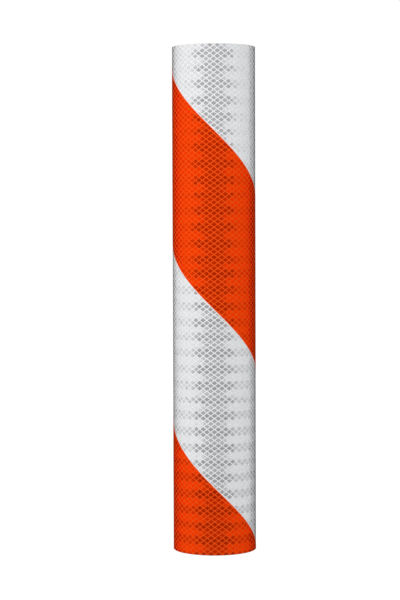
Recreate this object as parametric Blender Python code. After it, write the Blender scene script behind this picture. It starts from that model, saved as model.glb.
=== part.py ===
"""Delineator post: a plastic tube wrapped in striped retroreflective sheeting,
closed by a push-in top cap and by a riveted base plug with a threaded anchor bush.

The post stands on z = 0 with its axis on Z. Its front faces -Y and +X is to the right.
"""

import math

import bmesh
import bpy
from mathutils import Matrix, Vector

MM = 0.001

# Post and tube
POST_HEIGHT = 610 * MM
TUBE_RADIUS = 50 * MM
TUBE_WALL = 4 * MM
TUBE_CHAMFER = 0.4 * MM
BORE_RADIUS = TUBE_RADIUS - TUBE_WALL
FACETS = 96

# Sheeting: the adhesive is the gap between two layers
ADHESIVE = 0.05 * MM
SHEET_THICKNESS = 0.2 * MM
FILM_ADHESIVE = 0.025 * MM
FILM_THICKNESS = 0.1 * MM
SHEET_END_MARGIN = 0.5 * MM
LAP_FACETS = 3
FILM_LAP_GAP = 0.3 * MM

# Stripes: heights are those of the stripe edges on the front line
STRIPE_WIDTH = 150.7 * MM
STRIPE_PITCH = STRIPE_WIDTH * math.sqrt(2)
STRIPE_TOP_EDGE = 507.8 * MM

# Pieces that fit together keep this gap
FIT_GAP = 0.3 * MM

# Top cap
CAP_RECESS = 1.5 * MM
CAP_LENGTH = 40 * MM
CAP_PLATE = 3.5 * MM
CAP_SKIRT_INNER_RADIUS = 41 * MM
CAP_DISH_RADIUS = 24.5 * MM
CAP_DISH_DEPTH = 14.5 * MM
CAP_DISH_DRAFT = 1.5 * MM
CAP_DISH_WALL = 3 * MM
CAP_RIBS = 8
CAP_RIB_THICKNESS = 2 * MM
GRIP_BAR_WIDTH = 7 * MM
GRIP_BAR_DROP = 2 * MM
GRIP_BAR_EDGE = 1.5 * MM
SEAL_DEPTH_BELOW_CAP = 8.5 * MM
SEAL_GROOVE_HEIGHT = 3 * MM
SEAL_GROOVE_DEPTH = 2.4 * MM

# Base plug
PLUG_HEIGHT = 60 * MM
PLUG_FLOOR = 8 * MM
PLUG_SKIRT_WALL = 3 * MM
PLUG_BOSS_RADIUS = 20 * MM
PLUG_BOSS_HEIGHT = 52 * MM
PLUG_RIBS = 8
PLUG_RIB_THICKNESS = 3 * MM
PLUG_RIB_HEIGHT = 46 * MM
DRAIN_RADIUS = 3 * MM
DRAIN_CIRCLE = 32 * MM

# Anchor bush, its washer and its lock nut
BUSH_RADIUS = 12 * MM
BUSH_BOTTOM = 1 * MM
BUSH_FLANGE = 5 * MM
BUSH_TOP = 68 * MM
SOCKET_RADIUS = 7 * MM
SOCKET_DEPTH = 45 * MM
HEX_FLATS = 36 * MM
WASHER_RADIUS = 22 * MM
WASHER_THICKNESS = 3 * MM
NUT_HEIGHT = 10 * MM

# Rivets that hold the plug in the tube
RIVETS = 4
RIVET_HEIGHT = 30 * MM
RIVET_SHANK = 2.4 * MM
RIVET_HEAD = 4.6 * MM
RIVET_HEAD_DEPTH = 1.7 * MM
RIVET_FACE = 49.75 * MM
RIVET_BULB = 3.7 * MM
RIVET_TAIL = 38.2 * MM

# Every round piece turned on Z
ROUND_SEGMENTS = 48
SMALL_SEGMENTS = 16
SHARP_ANGLE = math.radians(35)
WELD = 0.000001


def clear_scene():
    for old in list(bpy.data.objects):
        bpy.data.objects.remove(old, do_unlink=True)


def make_material(name, colour, roughness, metallic=0.0):
    finish = bpy.data.materials.new(name)
    finish.use_nodes = True
    shader = finish.node_tree.nodes["Principled BSDF"]
    shader.inputs["Base Color"].default_value = (*colour, 1.0)
    shader.inputs["Roughness"].default_value = roughness
    shader.inputs["Metallic"].default_value = metallic
    finish.diffuse_color = (*colour, 1.0)
    return finish


def add_object(name, bm, finish=None):
    """Closes the mesh, turns its faces outwards and puts it in the scene."""
    bmesh.ops.remove_doubles(bm, verts=bm.verts, dist=WELD)
    bmesh.ops.recalc_face_normals(bm, faces=bm.faces)
    mesh = bpy.data.meshes.new(name)
    bm.to_mesh(mesh)
    bm.free()
    mesh.shade_smooth()
    mesh.set_sharp_from_angle(angle=SHARP_ANGLE)
    piece = bpy.data.objects.new(name, mesh)
    bpy.context.scene.collection.objects.link(piece)
    if finish:
        mesh.materials.append(finish)
    return piece


def add_cutter(name, bm):
    cutter = add_object(name, bm)
    cutter.hide_render = True
    cutter.display_type = "WIRE"
    return cutter


def boolean(piece, other, operation):
    cut = piece.modifiers.new(other.name, "BOOLEAN")
    cut.object = other
    cut.operation = operation
    cut.solver = "EXACT"


def turned(profile, segments):
    """Turns a closed outline of (radius, height) points about Z."""
    bm = bmesh.new()
    points = [bm.verts.new((radius, 0, height)) for radius, height in profile]
    edges = [bm.edges.new((a, b)) for a, b in zip(points, points[1:])]
    if profile[0][0] > 0 or profile[-1][0] > 0:
        edges.append(bm.edges.new((points[-1], points[0])))
    bmesh.ops.spin(
        bm,
        geom=points + edges,
        axis=(0, 0, 1),
        cent=(0, 0, 0),
        angle=math.tau,
        steps=segments,
        use_merge=True,
    )
    bmesh.ops.remove_doubles(bm, verts=bm.verts, dist=WELD)
    return bm


def add_box(bm, size, centre, turn=0.0):
    place = Matrix.Rotation(turn, 4, "Z") @ Matrix.Translation(centre)
    shape = Matrix.Diagonal((*size, 1.0))
    return bmesh.ops.create_cube(bm, size=1.0, matrix=place @ shape)["verts"]


def add_cylinder(bm, radius, low, high, segments, at=(0, 0)):
    middle = Matrix.Translation((*at, (low + high) / 2))
    bmesh.ops.create_cone(
        bm,
        cap_ends=True,
        segments=segments,
        radius1=radius,
        radius2=radius,
        depth=high - low,
        matrix=middle,
    )


def hexagon(flats, low, high):
    bm = bmesh.new()
    add_cylinder(bm, flats / math.sqrt(3), low, high, 6)
    return bm


def radial_ribs(count, thickness, inner, outer, low, high):
    """Upright plates that stand between two round walls, half a step off the X axis."""
    bm = bmesh.new()
    size = (outer - inner, thickness, high - low)
    centre = ((inner + outer) / 2, 0, (low + high) / 2)
    for index in range(count):
        add_box(bm, size, centre, math.tau * (index + 0.5) / count)
    return bm


# ---------------------------------------------------------------- tube


def make_tube(finish, rivet_holes):
    c = TUBE_CHAMFER
    profile = [
        (TUBE_RADIUS - c, POST_HEIGHT),
        (TUBE_RADIUS, POST_HEIGHT - c),
        (TUBE_RADIUS, c),
        (TUBE_RADIUS - c, 0),
        (BORE_RADIUS + c, 0),
        (BORE_RADIUS, c),
        (BORE_RADIUS, POST_HEIGHT - c),
        (BORE_RADIUS + c, POST_HEIGHT),
    ]
    tube = add_object("post_tube", turned(profile, FACETS), finish)
    boolean(tube, rivet_holes, "DIFFERENCE")
    return tube


# ---------------------------------------------------------------- sheeting

SHEET_RADIUS = TUBE_RADIUS + ADHESIVE + SHEET_THICKNESS
FACET_ANGLE = math.tau / FACETS
FACET_LENGTH = SHEET_RADIUS * FACET_ANGLE
HALF_TURN = SHEET_RADIUS * math.pi
LAP_STEP = SHEET_THICKNESS + ADHESIVE
SHEET_START = -HALF_TURN - LAP_FACETS * FACET_LENGTH
SHEET_END = HALF_TURN


def lap_lift(station):
    """The sheet climbs over its own start in the facet before the lap begins."""
    lap_start = FACETS // 2 - LAP_FACETS
    return LAP_STEP if station >= lap_start else 0.0


def facet_point(station, radius):
    angle = station * FACET_ANGLE - math.pi / 2
    reach = radius + lap_lift(station)
    return Vector((reach * math.cos(angle), reach * math.sin(angle), 0))


def wrap(along, radius, height):
    """Bends a point of the flat sheet round the tube, onto the facet it lies on."""
    place = along / FACET_LENGTH
    station = math.floor(place + 0.0001)
    share = max(place - station, 0.0)
    point = facet_point(station, radius).lerp(facet_point(station + 1, radius), share)
    point.z = height
    return point


def stripe_cut(bm, edge_height, keep_below):
    """Trims the flat sheet along a 45 degree line that falls to the right."""
    normal = Vector((1, 0, 1)) if keep_below else Vector((-1, 0, -1))
    bmesh.ops.bisect_plane(
        bm,
        geom=bm.verts[:] + bm.edges[:] + bm.faces[:],
        dist=WELD,
        plane_co=(0, 0, edge_height),
        plane_no=normal,
        clear_outer=True,
    )


def flat_sheet(start, end):
    low = SHEET_END_MARGIN
    high = POST_HEIGHT - SHEET_END_MARGIN
    bm = bmesh.new()
    corners = [(start, low), (end, low), (end, high), (start, high)]
    bm.faces.new([bm.verts.new((along, 0, height)) for along, height in corners])
    return bm


def crease_at_facets(bm):
    first = math.ceil(SHEET_START / FACET_LENGTH)
    last = math.floor(SHEET_END / FACET_LENGTH)
    for station in range(first, last + 1):
        bmesh.ops.bisect_plane(
            bm,
            geom=bm.verts[:] + bm.edges[:] + bm.faces[:],
            dist=WELD,
            plane_co=(station * FACET_LENGTH, 0, 0),
            plane_no=(1, 0, 0),
        )


def wrapped_layer(name, bm, inner_radius, thickness, finish):
    """Gives a flat outline its thickness and bends it round the tube."""
    crease_at_facets(bm)
    thick = bmesh.ops.extrude_face_region(bm, geom=bm.faces[:])
    outer = [item for item in thick["geom"] if isinstance(item, bmesh.types.BMVert)]
    for vert in bm.verts:
        vert.co.y = 0
    for vert in outer:
        vert.co.y = thickness
    for vert in bm.verts:
        vert.co = wrap(vert.co.x, inner_radius + vert.co.y, vert.co.z)
    return add_object(name, bm, finish)


def make_sheeting(white, orange):
    sheet_inner = TUBE_RADIUS + ADHESIVE
    sheet = flat_sheet(SHEET_START, SHEET_END)
    wrapped_layer("white_sheeting", sheet, sheet_inner, SHEET_THICKNESS, white)

    film_inner = sheet_inner + SHEET_THICKNESS + FILM_ADHESIVE
    bands = {
        "orange_film_rear": (STRIPE_TOP_EDGE + 2 * STRIPE_PITCH, STRIPE_TOP_EDGE + STRIPE_PITCH),
        "orange_film_middle": (STRIPE_TOP_EDGE, STRIPE_TOP_EDGE - STRIPE_PITCH),
        "orange_film_lower": (
            STRIPE_TOP_EDGE - 2 * STRIPE_PITCH,
            STRIPE_TOP_EDGE - 3 * STRIPE_PITCH,
        ),
    }
    for name, (top_edge, bottom_edge) in bands.items():
        film = flat_sheet(-HALF_TURN + FILM_LAP_GAP, SHEET_END)
        stripe_cut(film, top_edge, keep_below=True)
        stripe_cut(film, bottom_edge, keep_below=False)
        wrapped_layer(name, film, film_inner, FILM_THICKNESS, orange)


# ---------------------------------------------------------------- top cap


def cap_profile():
    outer = BORE_RADIUS - FIT_GAP
    top = POST_HEIGHT - CAP_RECESS
    bottom = top - CAP_LENGTH
    under_plate = top - CAP_PLATE
    dish_floor = top - CAP_DISH_DEPTH
    dish_under = dish_floor - CAP_DISH_WALL
    groove_top = top - SEAL_DEPTH_BELOW_CAP + SEAL_GROOVE_HEIGHT / 2
    groove_bottom = groove_top - SEAL_GROOVE_HEIGHT
    groove = outer - SEAL_GROOVE_DEPTH
    edge = 0.7 * MM
    return [
        (0, dish_floor),
        (CAP_DISH_RADIUS - CAP_DISH_DRAFT, dish_floor),
        (CAP_DISH_RADIUS, top),
        (outer - edge, top),
        (outer, top - edge),
        (outer, groove_top),
        (groove, groove_top),
        (groove, groove_bottom),
        (outer, groove_bottom),
        (outer, bottom + 2 * edge),
        (outer - edge, bottom),
        (CAP_SKIRT_INNER_RADIUS, bottom),
        (CAP_SKIRT_INNER_RADIUS, under_plate),
        (CAP_DISH_RADIUS + CAP_DISH_WALL, under_plate),
        (CAP_DISH_RADIUS + CAP_DISH_WALL - CAP_DISH_DRAFT, dish_under),
        (0, dish_under),
    ]


def make_top_cap(cap_finish, seal_finish):
    top = POST_HEIGHT - CAP_RECESS
    dish_floor = top - CAP_DISH_DEPTH
    cap = add_object("top_cap", turned(cap_profile(), ROUND_SEGMENTS), cap_finish)

    bar_low = dish_floor - 1 * MM
    bar_high = top - GRIP_BAR_DROP
    bar = bmesh.new()
    size = (2 * CAP_DISH_RADIUS + 1 * MM, GRIP_BAR_WIDTH, bar_high - bar_low)
    add_box(bar, size, (0, 0, (bar_low + bar_high) / 2))
    upper = [e for e in bar.edges if all(v.co.z > dish_floor for v in e.verts)]
    along = [e for e in upper if abs(e.verts[0].co.y - e.verts[1].co.y) < WELD]
    bmesh.ops.bevel(
        bar,
        geom=along,
        offset=GRIP_BAR_EDGE,
        segments=3,
        profile=0.5,
        affect="EDGES",
        material=-1,
    )
    boolean(cap, add_cutter("grip_bar_shape", bar), "UNION")

    ribs = radial_ribs(
        CAP_RIBS,
        CAP_RIB_THICKNESS,
        CAP_DISH_RADIUS + 1 * MM,
        CAP_SKIRT_INNER_RADIUS + 1 * MM,
        top - CAP_LENGTH + 6 * MM,
        top - CAP_PLATE + 1 * MM,
    )
    boolean(cap, add_cutter("cap_rib_shape", ribs), "UNION")

    groove = BORE_RADIUS - FIT_GAP - SEAL_GROOVE_DEPTH
    section = (BORE_RADIUS - FIT_GAP - (groove + FIT_GAP)) / 2
    seal_radius = groove + FIT_GAP + section
    seal_height = top - SEAL_DEPTH_BELOW_CAP
    circle = [
        (
            seal_radius + section * math.cos(math.tau * index / 8),
            seal_height + section * math.sin(math.tau * index / 8),
        )
        for index in range(8)
    ]
    add_object("top_cap_seal", turned(circle, ROUND_SEGMENTS), seal_finish)


# ---------------------------------------------------------------- base plug


def plug_profile():
    outer = BORE_RADIUS - FIT_GAP
    edge = 0.5 * MM
    lead_in = 2 * MM
    bush_hole = BUSH_RADIUS + FIT_GAP
    skirt_inner = outer - PLUG_SKIRT_WALL
    return [
        (outer - edge, 0),
        (outer, edge),
        (outer, PLUG_HEIGHT - lead_in),
        (outer - lead_in / 2, PLUG_HEIGHT),
        (skirt_inner, PLUG_HEIGHT),
        (skirt_inner, PLUG_FLOOR),
        (PLUG_BOSS_RADIUS, PLUG_FLOOR),
        (PLUG_BOSS_RADIUS, PLUG_BOSS_HEIGHT),
        (bush_hole, PLUG_BOSS_HEIGHT),
        (bush_hole, 0),
    ]


def make_base_plug(finish, rivet_holes):
    plug = add_object("base_plug", turned(plug_profile(), ROUND_SEGMENTS), finish)
    ribs = radial_ribs(
        PLUG_RIBS,
        PLUG_RIB_THICKNESS,
        PLUG_BOSS_RADIUS - 1 * MM,
        BORE_RADIUS - FIT_GAP - PLUG_SKIRT_WALL + 1 * MM,
        PLUG_FLOOR - 1 * MM,
        PLUG_RIB_HEIGHT,
    )
    boolean(plug, add_cutter("plug_rib_shape", ribs), "UNION")

    pocket_top = BUSH_BOTTOM + BUSH_FLANGE + FIT_GAP
    pocket = hexagon(HEX_FLATS + 2 * FIT_GAP, -1 * MM, pocket_top)
    boolean(plug, add_cutter("bush_pocket_shape", pocket), "DIFFERENCE")

    drains = bmesh.new()
    for index in range(4):
        angle = math.tau * index / 4
        at = (DRAIN_CIRCLE * math.cos(angle), DRAIN_CIRCLE * math.sin(angle))
        add_cylinder(drains, DRAIN_RADIUS, -1 * MM, PLUG_FLOOR + 1 * MM, SMALL_SEGMENTS, at)
    boolean(plug, add_cutter("drain_hole_shape", drains), "DIFFERENCE")
    boolean(plug, rivet_holes, "DIFFERENCE")


def make_anchor_bush(finish):
    body = bmesh.new()
    add_cylinder(body, BUSH_RADIUS, BUSH_BOTTOM, BUSH_TOP, ROUND_SEGMENTS)
    bush = add_object("threaded_bush", body, finish)
    flange = hexagon(HEX_FLATS, BUSH_BOTTOM, BUSH_BOTTOM + BUSH_FLANGE)
    boolean(bush, add_cutter("bush_flange_shape", flange), "UNION")
    mouth = 1.5 * MM
    socket_profile = [
        (0, BUSH_BOTTOM + SOCKET_DEPTH + 2 * MM),
        (SOCKET_RADIUS, BUSH_BOTTOM + SOCKET_DEPTH),
        (SOCKET_RADIUS, BUSH_BOTTOM + mouth),
        (SOCKET_RADIUS + 2 * mouth, BUSH_BOTTOM - mouth),
        (0, BUSH_BOTTOM - mouth),
    ]
    socket = turned(socket_profile, ROUND_SEGMENTS // 2)
    boolean(bush, add_cutter("socket_shape", socket), "DIFFERENCE")


def make_bush_fasteners(finish):
    hole = BUSH_RADIUS + FIT_GAP
    low = PLUG_BOSS_HEIGHT + FIT_GAP
    high = low + WASHER_THICKNESS
    washer = [(hole, low), (WASHER_RADIUS, low), (WASHER_RADIUS, high), (hole, high)]
    add_object("load_washer", turned(washer, ROUND_SEGMENTS), finish)

    nut_low = high + FIT_GAP
    nut_high = nut_low + NUT_HEIGHT
    nut = add_object("lock_nut", hexagon(HEX_FLATS, nut_low, nut_high), finish)
    bore = bmesh.new()
    add_cylinder(bore, hole, nut_low - 1 * MM, nut_high + 1 * MM, ROUND_SEGMENTS)
    boolean(nut, add_cutter("nut_bore_shape", bore), "DIFFERENCE")


# ---------------------------------------------------------------- rivets


def on_rivet_axis(bm, index):
    """Lays a piece turned on Z along the radius of one rivet."""
    angle = math.tau * (index + 0.5) / RIVETS
    place = (
        Matrix.Translation((0, 0, RIVET_HEIGHT))
        @ Matrix.Rotation(angle, 4, "Z")
        @ Matrix.Rotation(math.pi / 2, 4, "Y")
    )
    bmesh.ops.transform(bm, matrix=place, verts=bm.verts)
    return bm


def rivet_hole_profile():
    radius = RIVET_SHANK + FIT_GAP
    neck = RIVET_FACE - RIVET_HEAD_DEPTH - FIT_GAP
    slope = (RIVET_HEAD - RIVET_SHANK) / RIVET_HEAD_DEPTH
    past = TUBE_RADIUS + 1 * MM
    return [
        (0, past),
        (radius + slope * (past - neck), past),
        (radius, neck),
        (radius, RIVET_TAIL - 1 * MM),
        (0, RIVET_TAIL - 1 * MM),
    ]


def rivet_profile():
    skirt_inner = BORE_RADIUS - FIT_GAP - PLUG_SKIRT_WALL
    bulb_start = skirt_inner - FIT_GAP
    return [
        (0, RIVET_FACE),
        (RIVET_HEAD, RIVET_FACE),
        (RIVET_SHANK, RIVET_FACE - RIVET_HEAD_DEPTH),
        (RIVET_SHANK, bulb_start),
        (RIVET_BULB, bulb_start),
        (RIVET_BULB, RIVET_TAIL + 1.5 * MM),
        (RIVET_SHANK, RIVET_TAIL),
        (0, RIVET_TAIL),
    ]


def make_rivet_holes():
    holes = bmesh.new()
    for index in range(RIVETS):
        one = on_rivet_axis(turned(rivet_hole_profile(), SMALL_SEGMENTS), index)
        bmesh.ops.recalc_face_normals(one, faces=one.faces)
        spare = bpy.data.meshes.new("rivet_hole_spare")
        one.to_mesh(spare)
        one.free()
        holes.from_mesh(spare)
        bpy.data.meshes.remove(spare)
    return add_cutter("rivet_hole_shape", holes)


def make_rivets(finish):
    for index in range(RIVETS):
        rivet = on_rivet_axis(turned(rivet_profile(), SMALL_SEGMENTS), index)
        add_object(f"plug_rivet_{index + 1}", rivet, finish)


def main():
    clear_scene()
    tube_finish = make_material("extruded_polyethylene", (0.80, 0.80, 0.78), 0.45)
    white = make_material("white_prismatic_sheeting", (0.72, 0.73, 0.74), 0.25)
    orange = make_material("orange_overlay_film", (0.62, 0.06, 0.008), 0.25)
    cap_finish = make_material("black_moulded_cap", (0.02, 0.02, 0.022), 0.5)
    seal_finish = make_material("nitrile_rubber", (0.01, 0.01, 0.01), 0.7)
    plug_finish = make_material("black_glass_filled_nylon", (0.03, 0.03, 0.03), 0.55)
    steel = make_material("zinc_plated_steel", (0.55, 0.56, 0.58), 0.35, 1.0)
    aluminium = make_material("rivet_aluminium", (0.75, 0.75, 0.76), 0.35, 1.0)

    rivet_holes = make_rivet_holes()
    make_tube(tube_finish, rivet_holes)
    make_sheeting(white, orange)
    make_top_cap(cap_finish, seal_finish)
    make_base_plug(plug_finish, rivet_holes)
    make_anchor_bush(steel)
    make_bush_fasteners(steel)
    make_rivets(aluminium)


main()
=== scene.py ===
"""Looks of a delineator post: prismatic sheeting with overlay stripes, cap, base plug and anchor bush."""

import math

import bmesh
import bpy
from mathutils import Matrix, Vector


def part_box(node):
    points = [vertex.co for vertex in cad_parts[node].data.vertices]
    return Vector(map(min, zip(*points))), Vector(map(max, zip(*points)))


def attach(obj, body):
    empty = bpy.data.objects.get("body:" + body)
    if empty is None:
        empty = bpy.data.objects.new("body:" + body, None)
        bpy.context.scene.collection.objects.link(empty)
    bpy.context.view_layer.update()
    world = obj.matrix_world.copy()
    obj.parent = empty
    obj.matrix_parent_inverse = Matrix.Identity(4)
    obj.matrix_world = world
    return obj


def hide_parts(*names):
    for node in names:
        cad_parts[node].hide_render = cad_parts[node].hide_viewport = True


bl_info = {
    "name": "Delineator Post Looks",
    "version": (1, 0, 0),
    "blender": (4, 5, 0),
    "location": "3D View > Sidebar > Post",
    "description": "Builds the finished surfaces of a striped delineator post round its frame",
    "category": "Object",
}

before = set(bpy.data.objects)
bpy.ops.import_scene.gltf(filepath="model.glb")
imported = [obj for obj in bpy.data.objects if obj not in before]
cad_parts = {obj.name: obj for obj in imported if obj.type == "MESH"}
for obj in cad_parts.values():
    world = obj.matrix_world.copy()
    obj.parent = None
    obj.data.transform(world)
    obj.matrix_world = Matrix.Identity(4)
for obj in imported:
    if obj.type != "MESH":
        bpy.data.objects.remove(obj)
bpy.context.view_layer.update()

MM = 0.001
WELD = 0.000001
SHARP_ANGLE = math.radians(35)

# Sides of what is turned: the cap, the ring and the plug, the bush and what fits it, holes, the cove
LARGE_ROUND = 96
SMALL_ROUND = 72
HOLE_ROUND = 24
COVE_ROUND = 64


# ---------------------------------------------------------------- sizes from the frame, and settings


def tube_sizes():
    """Outer radius of the tube and the heights of its two ends."""
    low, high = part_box("post_tube")
    return high.x, low.z, high.z


TUBE_RADIUS, FOOT, TOP = tube_sizes()
SHEET_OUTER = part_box("white_sheeting")[1].x
FILM_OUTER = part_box("orange_film_middle")[1].x
CAP_LOW, CAP_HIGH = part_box("top_cap")
PLUG_LOW, PLUG_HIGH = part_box("base_plug")
BUSH_LOW, BUSH_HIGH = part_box("threaded_bush")
SEAL_LOW, SEAL_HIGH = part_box("top_cap_seal")
WASHER_LOW, WASHER_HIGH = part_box("load_washer")
NUT_LOW, NUT_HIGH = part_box("lock_nut")
FIT_GAP = 0.3 * MM
BUSH_RADIUS = 12 * MM
FLANGE_HEIGHT = 5 * MM
RIVET_NODES = [f"plug_rivet_{number}" for number in (1, 2, 3, 4)]


def srgb(code):
    """Linear colour of an sRGB hex code."""

    def linear(value):
        return value / 12.92 if value <= 0.04045 else ((value + 0.055) / 1.055) ** 2.4

    parts = [int(code[index : index + 2], 16) / 255 for index in (1, 3, 5)]
    return (*[linear(part) for part in parts], 1.0)


class SheetingSettings(bpy.types.PropertyGroup):
    cell_width: bpy.props.FloatProperty(
        name="Cell width",
        description="Distance round the post between two sealed diamond cells in a row",
        default=9.06 * MM,
        unit="LENGTH",
        precision=5,
    )
    cell_height: bpy.props.FloatProperty(
        name="Cell height",
        description="Distance up the post between two sealed diamond cells in a column",
        default=6.517 * MM,
        unit="LENGTH",
        precision=5,
    )
    lattice_lift: bpy.props.FloatProperty(
        name="Lattice lift",
        description="Height of the lowest weld crossing on the front line",
        default=1.8 * MM,
        unit="LENGTH",
        precision=5,
    )
    seal_width: bpy.props.FloatProperty(
        name="Seal line width",
        description="Width of the weld lines between the cells",
        default=1.1 * MM,
        unit="LENGTH",
        precision=5,
    )
    seal_sink: bpy.props.FloatProperty(
        name="Seal line sink",
        description="How far the weld lines lie below the face of the cells",
        default=0.04 * MM,
        unit="LENGTH",
        precision=5,
    )
    tile_height: bpy.props.FloatProperty(
        name="Prism tile height",
        description="Height of one row of prism tiles; rows alternate between two orientations",
        default=9.39 * MM,
        unit="LENGTH",
        precision=5,
    )
    tile_lift: bpy.props.FloatProperty(
        name="Prism tile lift",
        description="Height of the middle of the lowest level tile row",
        default=17.0 * MM,
        unit="LENGTH",
        precision=5,
    )
    stripe_width: bpy.props.FloatProperty(
        name="Stripe width",
        description="Width of a stripe measured square to its edges",
        default=150.7 * MM,
        unit="LENGTH",
        precision=4,
    )
    stripe_top: bpy.props.FloatProperty(
        name="Stripe height",
        description="Height at which the upper stripe's top edge crosses the front line",
        default=507.8 * MM,
        unit="LENGTH",
        precision=4,
    )
    edge_seal: bpy.props.FloatProperty(
        name="Edge seal width",
        description="Width of the sealed line on each side of a stripe's edge",
        default=0.9 * MM,
        unit="LENGTH",
        precision=5,
    )
    lap: bpy.props.FloatProperty(
        name="Lap",
        description="How far the sheeting runs over its own start at the rear seam",
        default=9.87 * MM,
        unit="LENGTH",
        precision=5,
    )
    white_colour: bpy.props.FloatVectorProperty(
        name="White sheeting",
        description="Colour of the white sheeting's cells and weld lines",
        default=srgb("#EBECEE"),
        subtype="COLOR",
        size=4,
    )
    film_colour: bpy.props.FloatVectorProperty(
        name="Film over cells",
        description="Colour of the orange film where it lies over the mirror-like cells",
        default=srgb("#FC3C00"),
        subtype="COLOR",
        size=4,
    )
    film_line_colour: bpy.props.FloatVectorProperty(
        name="Film over weld lines",
        description="Colour of the orange film where it lies over the matt weld lines",
        default=srgb("#EE5018"),
        subtype="COLOR",
        size=4,
    )


class CapSettings(bpy.types.PropertyGroup):
    dish_radius: bpy.props.FloatProperty(
        name="Grip dish radius",
        description="Radius of the round recess for the fingertips",
        default=24.5 * MM,
        unit="LENGTH",
        precision=4,
    )
    dish_depth: bpy.props.FloatProperty(
        name="Grip dish depth",
        description="Depth of the recess below the cap's face",
        default=14.5 * MM,
        unit="LENGTH",
        precision=4,
    )
    bar_width: bpy.props.FloatProperty(
        name="Grip bar width",
        description="Width of the bar across the recess",
        default=7 * MM,
        unit="LENGTH",
        precision=4,
    )
    bar_drop: bpy.props.FloatProperty(
        name="Grip bar drop",
        description="How far the top of the bar lies below the cap's face",
        default=2 * MM,
        unit="LENGTH",
        precision=4,
    )
    dark_colour: bpy.props.FloatVectorProperty(
        name="Cap colour, dark",
        description="Darker of the two shades of the cap's plastic",
        default=srgb("#1A1A1C"),
        subtype="COLOR",
        size=4,
    )
    light_colour: bpy.props.FloatVectorProperty(
        name="Cap colour, light",
        description="Lighter of the two shades of the cap's plastic",
        default=srgb("#2A2A2C"),
        subtype="COLOR",
        size=4,
    )


class PlugSettings(bpy.types.PropertyGroup):
    drain_radius: bpy.props.FloatProperty(
        name="Drain hole radius",
        description="Radius of the four drain holes in the plug's floor",
        default=3 * MM,
        unit="LENGTH",
        precision=4,
    )
    socket_radius: bpy.props.FloatProperty(
        name="Socket radius",
        description="Radius of the anchor bush's threaded socket at the crest of its thread",
        default=7 * MM,
        unit="LENGTH",
        precision=4,
    )
    thread_pitch: bpy.props.FloatProperty(
        name="Thread pitch",
        description="Distance between two turns of the socket's thread",
        default=2 * MM,
        unit="LENGTH",
        precision=5,
    )


class StageSettings(bpy.types.PropertyGroup):
    lens: bpy.props.FloatProperty(
        name="Lens",
        description="Focal length of the camera, in millimetres",
        default=106.49,
        unit="CAMERA",
    )
    camera_distance: bpy.props.FloatProperty(
        name="Camera distance",
        description="Distance from the camera to the post's axis",
        default=2.1567,
        unit="LENGTH",
    )
    camera_height: bpy.props.FloatProperty(
        name="Camera height",
        description="Height of the camera above the floor",
        default=0.3994,
        unit="LENGTH",
    )
    floor_radius: bpy.props.FloatProperty(
        name="Cove radius",
        description="Radius of the round pale cove that the post stands in",
        default=7.0,
        unit="LENGTH",
    )


# ---------------------------------------------------------------- mesh helpers


def make_object(name, bm, finish, body, slot, *nodes):
    """Puts a finished mesh in the scene, on its body, in place of its CAD nodes."""
    if not bm.faces or any(edge.is_boundary for edge in bm.edges):
        raise RuntimeError(f"{name} isn't a closed mesh")
    mesh = bpy.data.meshes.new(name)
    bm.to_mesh(mesh)
    bm.free()
    mesh.shade_smooth()
    mesh.set_sharp_from_angle(angle=SHARP_ANGLE)
    mesh.materials.append(finish)
    piece = bpy.data.objects.new(name, mesh)
    bpy.context.scene.collection.objects.link(piece)
    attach(piece, body)
    if nodes:
        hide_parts(*nodes)
    return piece


def everything(bm):
    """All the vertices, edges and faces of a mesh, as the cutting operators want them."""
    return bm.verts[:] + bm.edges[:] + bm.faces[:]


def turned(profile, segments):
    """Turns a closed outline of (radius, height) points about Z."""
    bm = bmesh.new()
    points = [bm.verts.new((radius, 0, height)) for radius, height in profile]
    edges = [bm.edges.new((a, b)) for a, b in zip(points, points[1:])]
    if profile[0][0] > 0 or profile[-1][0] > 0:
        edges.append(bm.edges.new((points[-1], points[0])))
    bmesh.ops.spin(
        bm,
        geom=points + edges,
        axis=(0, 0, 1),
        cent=(0, 0, 0),
        angle=math.tau,
        steps=segments,
        use_merge=True,
    )
    bmesh.ops.remove_doubles(bm, verts=bm.verts, dist=WELD)
    bmesh.ops.recalc_face_normals(bm, faces=bm.faces)
    return bm


def soften(bm, width, segments=2, least_angle=30.0):
    """Rounds every edge that turns by more than the least angle."""
    limit = math.radians(least_angle)
    edges = [e for e in bm.edges if e.calc_face_angle(0.0) > limit]
    bmesh.ops.bevel(
        bm,
        geom=edges,
        affect="EDGES",
        offset=width,
        segments=segments,
        profile=0.5,
        material=-1,
        clamp_overlap=True,
    )


def add_shell(bm, extra):
    """Adds another closed shell to the same piece."""
    spare = bpy.data.meshes.new("spare_shell")
    extra.to_mesh(spare)
    extra.free()
    bm.from_mesh(spare)
    bpy.data.meshes.remove(spare)


def box_shell(size, centre, turn=0.0):
    """A box of a given size at a given centre, turned about the post's axis."""
    bm = bmesh.new()
    place = Matrix.Rotation(turn, 4, "Z") @ Matrix.Translation(centre)
    bmesh.ops.create_cube(bm, size=1.0, matrix=place @ Matrix.Diagonal((*size, 1.0)))
    return bm


def rod(radius, low, high, segments, place=None):
    """An upright rod, or one laid where the matrix says."""
    bm = bmesh.new()
    middle = Matrix.Translation((0, 0, (low + high) / 2))
    bmesh.ops.create_cone(
        bm,
        cap_ends=True,
        segments=segments,
        radius1=radius,
        radius2=radius,
        depth=high - low,
        matrix=place @ middle if place else middle,
    )
    return bm


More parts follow.
